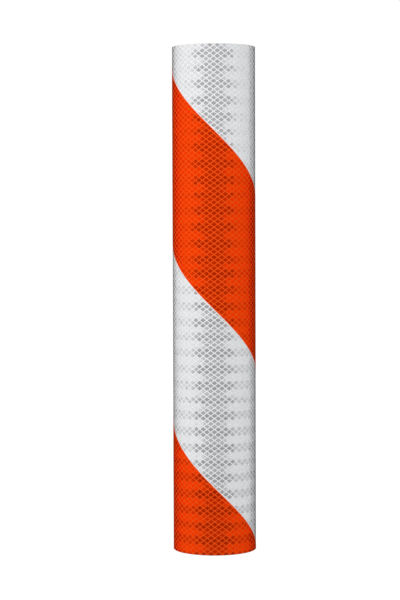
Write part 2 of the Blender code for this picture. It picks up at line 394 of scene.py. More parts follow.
def cut(bm, tool, operation="DIFFERENCE"):
    """Cuts one closed mesh with another, and gives the result as a new mesh."""
    pair = []
    for name, part in (("cut_body", bm), ("cut_tool", tool)):
        mesh = bpy.data.meshes.new(name)
        part.to_mesh(mesh)
        part.free()
        pair.append(bpy.data.objects.new(name, mesh))
        bpy.context.scene.collection.objects.link(pair[-1])
    body, cutter = pair
    modifier = body.modifiers.new("cut", "BOOLEAN")
    modifier.operation = operation
    modifier.object = cutter
    modifier.solver = "EXACT"
    result = bmesh.new()
    result.from_object(body, bpy.context.evaluated_depsgraph_get())
    for spare in pair:
        mesh = spare.data
        bpy.data.objects.remove(spare, do_unlink=True)
        bpy.data.meshes.remove(mesh)
    if not result.faces:
        raise RuntimeError("a cut left nothing of the mesh")
    return result


def chamfered_hexagon(flats, low, high, faces):
    """A hexagon whose corners are turned off at 30 degrees on its lower face, its upper face or both."""
    corner = flats / math.sqrt(3)
    rim = corner + 1 * MM
    bearing = flats / 2 * 0.98
    drop = (rim - bearing) * math.tan(math.radians(30))
    below = drop if "low" in faces else 0
    above = drop if "high" in faces else 0
    # An odd number of sides keeps the disc's corners off the hexagon's.
    sides = 91
    disc = turned(
        [
            (0, low),
            (bearing if below else rim, low),
            (rim, low + below),
            (rim, high - above),
            (bearing if above else rim, high),
            (0, high),
        ],
        sides,
    )
    return cut(disc, rod(corner, low - MM, high + MM, 6), "INTERSECT")


def thread_coil(root, crest, low, high, pitch):
    """The ridge of a screw thread, from just inside the wall at its root to its flat crest."""
    turns = math.floor((high - low) / pitch) - 1
    steps_a_turn = 24
    foot = root + (root - crest) * 0.15
    half_foot = pitch * 0.43
    half_tip = pitch * 0.08
    bm = bmesh.new()
    section = [(foot, -half_foot), (crest, -half_tip), (crest, half_tip), (foot, half_foot)]
    ring = [bm.verts.new((radius, 0, low + pitch / 2 + rise)) for radius, rise in section]
    face = bm.faces.new(ring)
    bmesh.ops.spin(
        bm,
        geom=[face],
        axis=(0, 0, 1),
        cent=(0, 0, 0),
        dvec=(0, 0, pitch / steps_a_turn),
        angle=math.tau * turns,
        steps=steps_a_turn * turns,
        use_merge=False,
    )
    bmesh.ops.remove_doubles(bm, verts=bm.verts, dist=WELD)
    bmesh.ops.recalc_face_normals(bm, faces=bm.faces)
    return bm


# ---------------------------------------------------------------- material helpers


def add_node(tree, kind, settings=None, inputs=None):
    """Adds a node, sets its options, and sets or links its inputs."""
    node = tree.nodes.new(kind)
    for name, value in (settings or {}).items():
        setattr(node, name, value)
    for key, value in (inputs or {}).items():
        if isinstance(value, bpy.types.NodeSocket):
            tree.links.new(value, node.inputs[key])
        else:
            node.inputs[key].default_value = value
    return node


def new_material(name):
    """A material with an empty node tree."""
    finish = bpy.data.materials.new(name)
    finish.use_nodes = True
    finish.node_tree.nodes.clear()
    return finish, finish.node_tree


def finish_tree(tree, shader):
    """Joins the last shader to the material's output."""
    add_node(tree, "ShaderNodeOutputMaterial", None, {"Surface": shader})


# ---------------------------------------------------------------- sheeting materials


def stripe_seal(tree, sheeting, split):
    """Mask of the sealed line that runs along both edges of every stripe, from the flat coordinates."""
    slanted = add_node(
        tree, "ShaderNodeMath", {"operation": "ADD"}, {0: split.outputs["X"], 1: split.outputs["Y"]}
    ).outputs[0]
    from_edge = add_node(
        tree, "ShaderNodeMath", {"operation": "SUBTRACT"}, {0: slanted, 1: sheeting.stripe_top}
    ).outputs[0]
    half_pitch = sheeting.stripe_width / math.sqrt(2)
    away = add_node(
        tree, "ShaderNodeMath", {"operation": "PINGPONG"}, {0: from_edge, 1: half_pitch}
    ).outputs[0]
    reach = sheeting.edge_seal * math.sqrt(2)
    return add_node(
        tree,
        "ShaderNodeMapRange",
        {"interpolation_type": "SMOOTHSTEP"},
        {"Value": away, "From Min": reach * 0.7, "From Max": reach * 1.3, "To Min": 1.0, "To Max": 0.0},
    ).outputs[0]


def lattice_axes(tree, sheeting, split):
    """Places along the lattice's two slanting ways, on which each whole step is one cell."""
    raised = add_node(
        tree,
        "ShaderNodeMath",
        {"operation": "SUBTRACT"},
        {0: split.outputs["Y"], 1: sheeting.lattice_lift},
    ).outputs[0]
    across = add_node(
        tree,
        "ShaderNodeMath",
        {"operation": "DIVIDE"},
        {0: split.outputs["X"], 1: sheeting.cell_width},
    ).outputs[0]
    up = add_node(
        tree,
        "ShaderNodeMath",
        {"operation": "DIVIDE"},
        {0: raised, 1: sheeting.cell_height},
    ).outputs[0]
    axes = []
    for operation in ("ADD", "SUBTRACT"):
        axis = add_node(tree, "ShaderNodeMath", {"operation": operation}, {0: across, 1: up})
        axes.append(axis.outputs[0])
    return axes


def weld_lines(tree, sheeting, split, axes):
    """Mask of the weld lines between the cells and along the stripes' edges."""
    distances = []
    shares = []
    for axis in axes:
        away = add_node(tree, "ShaderNodeMath", {"operation": "PINGPONG"}, {0: axis, 1: 0.5})
        distances.append(away.outputs[0])
        share = add_node(tree, "ShaderNodeMath", {"operation": "FRACT"}, {0: axis})
        shares.append(share.outputs[0])
    nearest = add_node(
        tree, "ShaderNodeMath", {"operation": "MINIMUM"}, {0: distances[0], 1: distances[1]}
    ).outputs[0]
    spacing = 1 / math.hypot(1 / sheeting.cell_width, 1 / sheeting.cell_height)
    half = sheeting.seal_width / 2 / spacing
    thin_lines = add_node(
        tree,
        "ShaderNodeMapRange",
        {"interpolation_type": "SMOOTHSTEP"},
        {"Value": nearest, "From Min": half * 0.7, "From Max": half * 1.3, "To Min": 1.0, "To Max": 0.0},
    ).outputs[0]
    # The weld spreads where two lines cross, so it takes the left and right corners off each cell.
    corner_start, corner_end = 0.6, 0.74
    both = add_node(
        tree, "ShaderNodeMath", {"operation": "ADD"}, {0: shares[0], 1: shares[1]}
    ).outputs[0]
    off_centre = add_node(
        tree, "ShaderNodeMath", {"operation": "SUBTRACT"}, {0: both, 1: 1.0}
    ).outputs[0]
    sideways = add_node(
        tree, "ShaderNodeMath", {"operation": "ABSOLUTE"}, {0: off_centre}
    ).outputs[0]
    corners = add_node(
        tree,
        "ShaderNodeMapRange",
        {"interpolation_type": "SMOOTHSTEP"},
        {"Value": sideways, "From Min": corner_start, "From Max": corner_end},
    ).outputs[0]
    lattice = add_node(
        tree, "ShaderNodeMath", {"operation": "MAXIMUM"}, {0: thin_lines, 1: corners}
    ).outputs[0]
    return add_node(
        tree,
        "ShaderNodeMath",
        {"operation": "MAXIMUM"},
        {0: lattice, 1: stripe_seal(tree, sheeting, split)},
    ).outputs[0]


def tile_rows(tree, sheeting, counts):
    """Mask of every other row of prism tiles; a whole cell belongs to the row that its middle lies in."""
    twice_up = add_node(
        tree, "ShaderNodeMath", {"operation": "SUBTRACT"}, {0: counts[0], 1: counts[1]}
    ).outputs[0]
    from_row = add_node(
        tree,
        "ShaderNodeMath",
        {"operation": "MULTIPLY_ADD"},
        {
            0: twice_up,
            1: sheeting.cell_height / 2,
            2: sheeting.lattice_lift - sheeting.tile_lift,
        },
    ).outputs[0]
    tile = add_node(
        tree,
        "ShaderNodeMath",
        {"operation": "PINGPONG"},
        {0: from_row, 1: sheeting.tile_height},
    ).outputs[0]
    return add_node(
        tree,
        "ShaderNodeMapRange",
        {"interpolation_type": "SMOOTHSTEP"},
        {
            "Value": tile,
            "From Min": sheeting.tile_height * 0.47,
            "From Max": sheeting.tile_height * 0.53,
        },
    ).outputs[0]


def lattice_masks(tree, sheeting):
    """The flat coordinates, masks of the weld lines and of the tile rows, and each cell's random colour."""
    flat = add_node(tree, "ShaderNodeUVMap", {"uv_map": "flat_sheet"}).outputs["UV"]
    split = add_node(tree, "ShaderNodeSeparateXYZ", None, {0: flat})
    axes = lattice_axes(tree, sheeting, split)
    counts = []
    for axis in axes:
        count = add_node(tree, "ShaderNodeMath", {"operation": "FLOOR"}, {0: axis})
        counts.append(count.outputs[0])
    index = add_node(tree, "ShaderNodeCombineXYZ", None, {0: counts[0], 1: counts[1]}).outputs[0]
    chance = add_node(tree, "ShaderNodeTexWhiteNoise", None, {"Vector": index}).outputs["Color"]
    lines = weld_lines(tree, sheeting, split, axes)
    rows = tile_rows(tree, sheeting, counts)
    return flat, lines, rows, chance


def prism_normal(tree, lines, rows, chance):
    """Lean of the prisms: level in one row of tiles and canted up in the next, a little off in each cell."""
    level_cant, raised_cant, stray_cant = -0.05, 0.24, 0.04
    cant = add_node(
        tree, "ShaderNodeMapRange", None, {"Value": rows, "To Min": level_cant, "To Max": raised_cant}
    ).outputs[0]
    lean = add_node(tree, "ShaderNodeCombineXYZ", None, {1: cant}).outputs[0]
    stray = add_node(
        tree,
        "ShaderNodeVectorMath",
        {"operation": "MULTIPLY_ADD"},
        {
            0: chance,
            1: (2 * stray_cant, 2 * stray_cant, 0.0),
            2: (-stray_cant, -stray_cant, 0.0),
        },
    ).outputs[0]
    total = add_node(
        tree, "ShaderNodeVectorMath", {"operation": "ADD"}, {0: lean, 1: stray}
    ).outputs[0]
    cells = add_node(
        tree, "ShaderNodeMath", {"operation": "SUBTRACT"}, {0: 1.0, 1: lines}
    ).outputs[0]
    kept = add_node(
        tree, "ShaderNodeVectorMath", {"operation": "SCALE"}, {0: total, "Scale": cells}
    ).outputs[0]
    packed = add_node(
        tree,
        "ShaderNodeVectorMath",
        {"operation": "MULTIPLY_ADD"},
        {0: kept, 1: (0.5, 0.5, 0.0), 2: (0.5, 0.5, 1.0)},
    ).outputs[0]
    return add_node(
        tree, "ShaderNodeNormalMap", {"uv_map": "flat_sheet"}, {"Color": packed}
    ).outputs[0]


def sheeting_material(name, sheeting, cell_colour, line_colour, edge_tint, gloss, coat):
    """Sealed prismatic sheeting: mirror-like prism cells between matt weld lines, under a clear film."""
    finish, tree = new_material(name)
    flat, lines, rows, chance = lattice_masks(tree, sheeting)
    # The moulded film's grain is about 0.2 mm, and it is drawn at 1.2 mm so that it shows.
    film_grain = 1.2 * MM
    grain = add_node(
        tree,
        "ShaderNodeTexNoise",
        None,
        {"Vector": flat, "Scale": 1 / film_grain, "Detail": 3.0, "Roughness": 0.6},
    ).outputs["Fac"]
    shade = add_node(
        tree,
        "ShaderNodeMapRange",
        None,
        {"Value": grain, "From Min": 0.3, "From Max": 0.7, "To Min": 0.97, "To Max": 1.02},
    ).outputs[0]
    # Each cell splits light a little differently, which gives a faint tint.
    tinted = add_node(
        tree,
        "ShaderNodeMix",
        {"data_type": "RGBA", "blend_type": "OVERLAY"},
        {"Factor": 0.05, 6: cell_colour, 7: chance},
    ).outputs[2]
    colour = add_node(
        tree,
        "ShaderNodeMix",
        {"data_type": "RGBA"},
        {"Factor": lines, 6: tinted, 7: line_colour},
    ).outputs[2]
    shaded = add_node(
        tree,
        "ShaderNodeMix",
        {"data_type": "RGBA", "blend_type": "MULTIPLY"},
        {"Factor": 1.0, 6: colour, 7: shade},
    ).outputs[2]
    cell_metal, line_metal = 0.85, 0.12
    metal = add_node(
        tree, "ShaderNodeMapRange", None, {"Value": lines, "To Min": cell_metal, "To Max": line_metal}
    ).outputs[0]
    # Some cells are clearer than others, because their prisms came out of the mould sharper.
    clearest, dullest, line_rough = 0.12, 0.28, 0.5
    single = add_node(tree, "ShaderNodeSeparateColor", None, {0: chance}).outputs["Blue"]
    cell_rough = add_node(
        tree, "ShaderNodeMapRange", None, {"Value": single, "To Min": clearest, "To Max": dullest}
    ).outputs[0]
    rough = add_node(
        tree,
        "ShaderNodeMix",
        {"data_type": "FLOAT"},
        {"Factor": lines, 2: cell_rough, 3: line_rough},
    ).outputs[0]
    shader = add_node(
        tree,
        "ShaderNodeBsdfPrincipled",
        None,
        {
            "Base Color": shaded,
            "Metallic": metal,
            "Roughness": rough,
            "Normal": prism_normal(tree, lines, rows, chance),
            "Specular IOR Level": gloss,
            "Specular Tint": edge_tint,
            "Coat Weight": coat,
            "Coat Roughness": 0.06,
        },
    )
    finish_tree(tree, shader.outputs[0])
    return finish


# ---------------------------------------------------------------- sheeting meshes


def lattice_column(sheeting):
    """One column of whole cells with sunk weld lines, creased where the sheet will bend."""
    width = sheeting.cell_width
    height = sheeting.cell_height
    rows = math.ceil((TOP - FOOT) / height) + 1
    diamond = Matrix.Diagonal((width, 1, height, 1)) @ Matrix.Rotation(math.pi / 2, 4, "X")
    bm = bmesh.new()
    for row in range(-2, rows):
        for shift in (0.0, 0.5):
            raised = (row + shift) * height + sheeting.lattice_lift
            place = Matrix.Translation(((shift - 0.5) * width, 0, raised))
            bmesh.ops.create_circle(
                bm, cap_ends=True, segments=4, radius=0.5, matrix=place @ diamond
            )
    bmesh.ops.remove_doubles(bm, verts=bm.verts, dist=WELD)
    bm.normal_update()
    # The weld line's half width is measured square to its edge.
    bmesh.ops.inset_individual(
        bm,
        faces=bm.faces[:],
        thickness=sheeting.seal_width / 2,
        depth=sheeting.seal_sink,
        use_even_offset=True,
    )
    # The sheet bends at every quarter of a cell's width.
    for quarter in range(-4, 3):
        bmesh.ops.bisect_plane(
            bm,
            geom=everything(bm),
            dist=WELD / 10,
            plane_co=(quarter * width / 4, 0, 0),
            plane_no=(1, 0, 0),
        )
    return bm


def lattice_sheet(sheeting, start, end):
    """The flat lattice, wide enough to cut the sheet out of."""
    bm = lattice_column(sheeting)
    width = sheeting.cell_width
    first = math.floor(start / width) - 1
    last = math.ceil(end / width) + 1
    column = everything(bm)
    for index in range(first, last + 1):
        copy = bmesh.ops.duplicate(bm, geom=column)["geom"]
        verts = [item for item in copy if isinstance(item, bmesh.types.BMVert)]
        bmesh.ops.translate(bm, verts=verts, vec=(index * width, 0, 0))
    spare = [item for item in column if isinstance(item, bmesh.types.BMVert)]
    bmesh.ops.delete(bm, geom=spare, context="VERTS")
    bmesh.ops.remove_doubles(bm, verts=bm.verts, dist=WELD)
    return bm


def trim(bm, point, normal):
    """Cuts away what lies beyond a plane of the flat sheet."""
    bmesh.ops.bisect_plane(
        bm,
        geom=everything(bm),
        dist=WELD / 10,
        plane_co=point,
        plane_no=normal,
        clear_outer=True,
    )


def close_back(bm, sheeting, thickness):
    """Gives the cut sheet its edges and its flat back, creased like its face."""
    bmesh.ops.translate(bm, verts=bm.verts, vec=(0, sheeting.seal_sink - thickness, 0))
    rim = [edge for edge in bm.edges if edge.is_boundary]
    walls = bmesh.ops.extrude_edge_only(bm, edges=rim)["geom"]
    for item in walls:
        if isinstance(item, bmesh.types.BMVert):
            item.co.y = 0
    open_edges = [
        item for item in walls if isinstance(item, bmesh.types.BMEdge) and item.is_boundary
    ]
    back = bmesh.ops.holes_fill(bm, edges=open_edges, sides=0)["faces"]
    reach = [vert.co.x for face in back for vert in face.verts]
    step = sheeting.cell_width / 2
    for station in range(math.ceil(min(reach) / step), math.floor(max(reach) / step) + 1):
        crease = station * step
        edges = [edge for face in back for edge in face.edges]
        verts = [vert for face in back for vert in face.verts]
        result = bmesh.ops.bisect_plane(
            bm,
            geom=back + edges + verts,
            dist=WELD / 10,
            plane_co=(crease, 0, 0),
            plane_no=(1, 0, 0),
        )
        faces = [item for item in result["geom"] if isinstance(item, bmesh.types.BMFace)]
        # Only what lies past this crease is still to be creased.
        back = [face for face in faces if max(vert.co.x for vert in face.verts) > crease + WELD]


def wrap_sheet(bm, sheeting, inner_radius):
    """Writes the flat coordinates as a UV map, then bends the sheet round the tube."""
    flat = bm.loops.layers.uv.new("flat_sheet")
    for face in bm.faces:
        for loop in face.loops:
            loop[flat].uv = (loop.vert.co.x, loop.vert.co.z)
    half_turn = SHEET_OUTER * math.pi
    lap_start = half_turn - sheeting.lap
    # Over this length the sheet climbs on to its own start, by its thickness and its adhesive.
    ramp = 2.5 * MM
    step = SHEET_OUTER - TUBE_RADIUS
    for vert in bm.verts:
        along, out, height = vert.co.x, -vert.co.y, vert.co.z
        climb = min(max((along - lap_start + ramp) / ramp, 0.0), 1.0)
        radius = inner_radius + out + step * climb
        angle = along / SHEET_OUTER - math.pi / 2
        vert.co = (radius * math.cos(angle), radius * math.sin(angle), height)


def stripe_edges(sheeting):
    """Heights at which the stripes' edges cross the front line: top and lower edge of each in turn."""
    pitch = sheeting.stripe_width * math.sqrt(2)
    return [sheeting.stripe_top + pitch * index for index in (2, 1, 0, -1, -2, -3)]


def make_wrap(name, sheeting, layer, edges, finish, slot, node):
    """Cuts one layer of sheeting out of the lattice and wraps it: the white sheet or a stripe of film."""
    inner_radius, outer_radius, start, end = layer
    low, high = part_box("white_sheeting")
    if edges:
        start = max(start, edges[1] - high.z)
        end = min(end, edges[0] - low.z)
    bm = lattice_sheet(sheeting, start, end)
    trim(bm, (0, 0, low.z), (0, 0, -1))
    trim(bm, (0, 0, high.z), (0, 0, 1))
    trim(bm, (start, 0, 0), (-1, 0, 0))
    trim(bm, (end, 0, 0), (1, 0, 0))
    if edges:
        trim(bm, (0, 0, edges[0]), (1, 0, 1))
        trim(bm, (0, 0, edges[1]), (-1, 0, -1))
    close_back(bm, sheeting, outer_radius - inner_radius)
    wrap_sheet(bm, sheeting, inner_radius)
    bmesh.ops.remove_doubles(bm, verts=bm.verts, dist=WELD / 10)
    return make_object(name, bm, finish, "post", slot, node)


class POST_OT_sheeting(bpy.types.Operator):
    """Wraps the tube in white prismatic sheeting and lays the orange stripes over it"""

    bl_idname = "post.sheeting"
    bl_label = "Sheeting and Stripes"

    def execute(self, context):
        sheeting = context.scene.post_sheeting
        adhesive = 0.05 * MM
        film_adhesive = 0.025 * MM
        film_lap_gap = 0.3 * MM
        half_turn = SHEET_OUTER * math.pi
        # Metallised acrylic prisms under clear acrylic: silvery cells that mirror what is round them,
        # in a net of matt white weld lines, with the gloss of the clear face over both.
        white = sheeting_material(
            "white_prismatic_sheeting",
            sheeting,
            tuple(sheeting.white_colour),
            tuple(sheeting.white_colour),
            edge_tint=srgb("#FFFFFF"),
            gloss=0.1,
            coat=0.8,
        )
        # Clear orange film over the same sheeting: the cells glow orange and go deep red when dark,
        # the lines stay a paler orange, and light that grazes the film comes off a dull red.
        orange = sheeting_material(
            "orange_overlay_film",
            sheeting,
            tuple(sheeting.film_colour),
            tuple(sheeting.film_line_colour),
            edge_tint=srgb("#B82400"),
            gloss=0.0,
            coat=0.0,
        )
        sheet = (TUBE_RADIUS + adhesive, SHEET_OUTER, -half_turn - sheeting.lap, half_turn)
        make_wrap("sheeting_wrap", sheeting, sheet, None, white, "white_sheeting", "white_sheeting")
        film = (SHEET_OUTER + film_adhesive, FILM_OUTER, -half_turn + film_lap_gap, half_turn)
        edges = stripe_edges(sheeting)
        for index, place in enumerate(("rear", "middle", "lower")):
            make_wrap(
                f"stripe_{place}",
                sheeting,
                film,
                edges[2 * index : 2 * index + 2],
                orange,
                "orange_film",
                f"orange_film_{place}",
            )
        return {"FINISHED"}


# ---------------------------------------------------------------- plastics, rubber and metals


def grained_shader(tree, place, look):
    """A finish that varies by a fine grain and by a broad cloud, both of real size, with a matching bump."""
    stretched = add_node(
        tree, "ShaderNodeMapping", None, {"Vector": place, "Scale": look["stretch"]}
    ).outputs[0]
    grain = add_node(
        tree,
        "ShaderNodeTexNoise",
        None,
        {"Vector": stretched, "Scale": 1 / look["grain"], "Detail": 4.0, "Roughness": 0.65},
    ).outputs["Fac"]
    cloud = add_node(
        tree,
        "ShaderNodeTexNoise",
        None,
        {"Vector": place, "Scale": 1 / look["cloud"], "Detail": 2.0},
    ).outputs["Fac"]
    both = add_node(
        tree, "ShaderNodeMath", {"operation": "MULTIPLY_ADD"}, {0: grain, 1: 0.5, 2: cloud}
    ).outputs[0]
    share = add_node(
        tree, "ShaderNodeMapRange", None, {"Value": both, "From Min": 0.55, "From Max": 0.95}
    ).outputs[0]
    dark, light = look["colours"]
    colour = add_node(
        tree,
        "ShaderNodeMix",
        {"data_type": "RGBA"},
        {"Factor": share, 6: dark, 7: light},
    ).outputs[2]
    smooth, rough = look["rough"]
    roughness = add_node(
        tree,
        "ShaderNodeMapRange",
        None,
        {"Value": grain, "From Min": 0.3, "From Max": 0.7, "To Min": smooth, "To Max": rough},
    ).outputs[0]
    bump = add_node(
        tree,
        "ShaderNodeBump",
        None,
        {"Height": grain, "Distance": look["depth"], "Strength": 1.0},
    ).outputs[0]
    return add_node(
        tree,
        "ShaderNodeBsdfPrincipled",
        None,
        {
            "Base Color": colour,
            "Roughness": roughness,
            "Metallic": look["metal"],
            "Normal": bump,
        },
    )


def grained_material(name, **look):
    """A material of one grained finish, laid out by the piece's own coordinates."""
    finish, tree = new_material(name)
    place = add_node(tree, "ShaderNodeTexCoord").outputs["Object"]
    shader = grained_shader(tree, place, look)
    finish_tree(tree, shader.outputs[0])
    return finish


def tube_finish():
    # Off-white polyethylene out of a die: fine draw lines run up it, and it is a little waxy.
    return grained_material(
        "extruded_polyethylene",
        colours=(srgb("#D9D9D2"), srgb("#E8E8E3")),
        grain=1.2 * MM,
        cloud=30 * MM,
        stretch=(1.0, 1.0, 0.03),
        rough=(0.36, 0.5),
        metal=0.0,
        depth=0.03 * MM,
    )


def cap_finish(cap):
    # Black polyethylene from a spark eroded mould: an even fine grit that keeps the shine low.
    # The real grit is 0.2 mm across, and it is drawn at 0.8 mm so that it shows.
    return grained_material(
        "moulded_black_polyethylene",
        colours=(tuple(cap.dark_colour), tuple(cap.light_colour)),
        grain=0.8 * MM,
        cloud=18 * MM,
        stretch=(1.0, 1.0, 1.0),
        rough=(0.42, 0.62),
        metal=0.0,
        depth=0.08 * MM,
    )


def seal_finish():
    # Nitrile rubber, matt and very dark, with a grey bloom in places.
    return grained_material(
        "nitrile_rubber",
        colours=(srgb("#101010"), srgb("#242425")),
        grain=1.0 * MM,
        cloud=12 * MM,
        stretch=(1.0, 1.0, 1.0),
        rough=(0.65, 0.85),
        metal=0.0,
        depth=0.02 * MM,
    )


def plug_finish():
    # Glass filled nylon: the short fibres lie along the flow and leave pale streaks on the skin.
    return grained_material(
        "glass_filled_nylon",
        colours=(srgb("#1D1E20"), srgb("#3A3B3E")),
        grain=1.6 * MM,
        cloud=9 * MM,
        stretch=(1.0, 1.0, 0.35),
        rough=(0.35, 0.6),
        metal=0.0,
        depth=0.04 * MM,
    )


def turned_steel_finish():
    # Turned steel, zinc plated: fine rings of the tool round the axis and a faint warm tarnish.
    return grained_material(
        "zinc_plated_turned_steel",
        colours=(srgb("#A9ABAD"), srgb("#C9C7BE")),
        grain=1.0 * MM,
        cloud=14 * MM,
        stretch=(0.08, 0.08, 1.0),
        rough=(0.24, 0.42),
        metal=1.0,
        depth=0.02 * MM,
    )


def formed_steel_finish():
    # Forged and pressed steel, zinc plated: small dimples under an even satin plate.
    return grained_material(
        "zinc_plated_formed_steel",
        colours=(srgb("#A4A7AB"), srgb("#C6C6C2")),
        grain=1.4 * MM,
        cloud=16 * MM,
        stretch=(1.0, 1.0, 1.0),
        rough=(0.3, 0.5),
        metal=1.0,
        depth=0.04 * MM,
    )


def rivet_finish():
    # Plain aluminium, cold headed: bright, with faint rubbing marks.
    return grained_material(
        "plain_aluminium",
        colours=(srgb("#BEC0C3"), srgb("#D5D6D8")),
        grain=0.7 * MM,
        cloud=6 * MM,
        stretch=(1.0, 1.0, 0.4),
        rough=(0.26, 0.42),
        metal=1.0,
        depth=0.02 * MM,
    )


# ---------------------------------------------------------------- top cap and its seal


def seal_sizes():
    """Radius of the seal's core line, its height and the radius of its cord."""
    cord = (SEAL_HIGH.z - SEAL_LOW.z) / 2
    return SEAL_HIGH.x - cord, (SEAL_HIGH.z + SEAL_LOW.z) / 2, cord


def cap_body(cap):
    """The cap's face, grip dish, skirt and seal groove, turned in one."""
    outer = CAP_HIGH.x
    top = CAP_HIGH.z
    low = CAP_LOW.z
    plate = 3.5 * MM
    under_face = top - plate
    wall = 3 * MM
    draft = 1.5 * MM
    skirt_inner = 41 * MM
    dish_floor = top - cap.dish_depth
    seal_radius, seal_height, cord = seal_sizes()
    groove = seal_radius - cord - FIT_GAP
    groove_half = 1.5 * MM
    # A thin line is moulded round the dish.
    line = 34.5 * MM
    half_line = 0.6 * MM
    profile = [
        (0, dish_floor),
        (cap.dish_radius - draft, dish_floor),
        (cap.dish_radius, top),
        (line - half_line, top),
        (line - half_line / 2, top - half_line),
        (line + half_line / 2, top - half_line),
        (line + half_line, top),
        (outer, top),
        (outer, seal_height + groove_half),
        (groove, seal_height + groove_half),
        (groove, seal_height - groove_half),
        (outer, seal_height - groove_half),
        (outer, low),
        (skirt_inner, low),
        (skirt_inner, under_face),
        (cap.dish_radius + wall, under_face),
        (cap.dish_radius + wall - draft, dish_floor - wall),
        (0, dish_floor - wall),
    ]
    bm = turned(profile, LARGE_ROUND)
    soften(bm, 0.35 * MM, segments=3)
    return bm


def grip_bar(cap):
    """The bar across the dish, its ends and its foot sunk in the dish."""
    low = CAP_HIGH.z - cap.dish_depth - 2 * MM
    high = CAP_HIGH.z - cap.bar_drop
    length = 2 * cap.dish_radius + 2 * MM
    bm = box_shell((length, cap.bar_width, high - low), (0, 0, (low + high) / 2))
    upper = [e for e in bm.edges if all(v.co.z > high - WELD for v in e.verts)]
    along = [e for e in upper if abs(e.verts[0].co.y - e.verts[1].co.y) < WELD]
    bmesh.ops.bevel(
        bm,
        geom=along,
        affect="EDGES",
        offset=1.8 * MM,
        segments=5,
        profile=0.5,
        material=-1,
    )
    return bm


def cap_ribs(cap):
    """Eight stiffening ribs between the dish and the skirt, under the face."""
    inner = cap.dish_radius + 1.5 * MM
    outer = 42 * MM
    low = CAP_LOW.z + 6 * MM
    high = CAP_HIGH.z - 2.5 * MM
    count = 8
    bm = bmesh.new()
    for index in range(count):
        turn = math.tau * (index + 0.5) / count
        size = (outer - inner, 2 * MM, high - low)
        rib = box_shell(size, ((inner + outer) / 2, 0, (low + high) / 2), turn)
        soften(rib, 0.4 * MM)
        add_shell(bm, rib)
    return bm


def seal_ring():
    """The rubber ring, a circle turned about the post's axis."""
    radius, height, cord = seal_sizes()
    points = 20
    circle = [
        (
            radius + cord * math.cos(math.tau * index / points),
            height + cord * math.sin(math.tau * index / points),
        )
        for index in range(points)
    ]
    return turned(circle, LARGE_ROUND)


class POST_OT_cap(bpy.types.Operator):
    """Makes the top cap with its grip dish, bar and ribs, and the rubber ring in its groove"""

    bl_idname = "post.cap"
    bl_label = "Top Cap and Seal"

    def execute(self, context):
        cap = context.scene.post_cap
        bm = cap_body(cap)
        add_shell(bm, grip_bar(cap))
        add_shell(bm, cap_ribs(cap))
        make_object("moulded_cap", bm, cap_finish(cap), "cap", "cap_plastic", "top_cap")
        make_object("cap_o_ring", seal_ring(), seal_finish(), "cap", "seal_rubber", "top_cap_seal")
        return {"FINISHED"}


# ---------------------------------------------------------------- base plug, bush and fasteners


def rivet_places():
    """Middle height and angle of each rivet, read from the frame."""
    places = []
    for node in RIVET_NODES:
        low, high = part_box(node)
        middle = (low + high) / 2
        places.append((middle.z, math.atan2(middle.y, middle.x)))
    return places


def plug_body(plug):
    """The plug's skirt, floor and boss, with its drain holes, its hexagon pocket and its rivet holes."""
    outer = PLUG_HIGH.x
    top = PLUG_HIGH.z
    lead_in = 2 * MM
    skirt_wall = 3 * MM
    skirt_inner = outer - skirt_wall
    floor = 8 * MM
    boss = 20 * MM
    boss_top = WASHER_LOW.z - FIT_GAP
    bush_hole = BUSH_RADIUS + FIT_GAP
    profile = [
        (outer, PLUG_LOW.z),
        (outer, top - lead_in),
        (outer - lead_in / 2, top),
        (skirt_inner, top),
        (skirt_inner, floor),
        (boss, floor),
        (boss, boss_top),
        (bush_hole, boss_top),
        (bush_hole, PLUG_LOW.z),
    ]
    bm = turned(profile, LARGE_ROUND)
    pocket_flats = BUSH_HIGH.y - BUSH_LOW.y + 2 * FIT_GAP
    pocket_top = BUSH_LOW.z + FLANGE_HEIGHT + FIT_GAP
    bm = cut(bm, rod(pocket_flats / math.sqrt(3), -MM, pocket_top, 6))
    drain_circle = 32 * MM
    drains = 4
    for index in range(drains):
        around = Matrix.Rotation(math.tau * index / drains, 4, "Z")
        spoke = around @ Matrix.Translation((drain_circle, 0, 0))
        bm = cut(bm, rod(plug.drain_radius, -MM, floor + MM, HOLE_ROUND, spoke))
    rivet_hole = 2.7 * MM
    for height, angle in rivet_places():
        spoke = (
            Matrix.Translation((0, 0, height))
            @ Matrix.Rotation(angle, 4, "Z")
            @ Matrix.Rotation(math.pi / 2, 4, "Y")
        )
        bm = cut(bm, rod(rivet_hole, skirt_inner - MM, outer + MM, HOLE_ROUND, spoke))
    soften(bm, 0.3 * MM)
    return bm


def plug_ribs():
    """Eight ribs that tie the boss to the skirt."""
    inner = 19 * MM
    outer = PLUG_HIGH.x - 2 * MM
    low = 7 * MM
    high = 46 * MM
    count = 8
    bm = bmesh.new()
    for index in range(count):
        turn = math.tau * (index + 0.5) / count
        size = (outer - inner, 3 * MM, high - low)
        rib = box_shell(size, ((inner + outer) / 2, 0, (low + high) / 2), turn)
        soften(rib, 0.5 * MM)
        add_shell(bm, rib)
    return bm


class POST_OT_plug(bpy.types.Operator):
    """Makes the ribbed plug in the foot of the tube"""

    bl_idname = "post.plug"
    bl_label = "Base Plug"

    def execute(self, context):
        bm = plug_body(context.scene.post_plug)
        add_shell(bm, plug_ribs())
        make_object("ribbed_plug", bm, plug_finish(), "post", "plug_plastic", "base_plug")
        return {"FINISHED"}


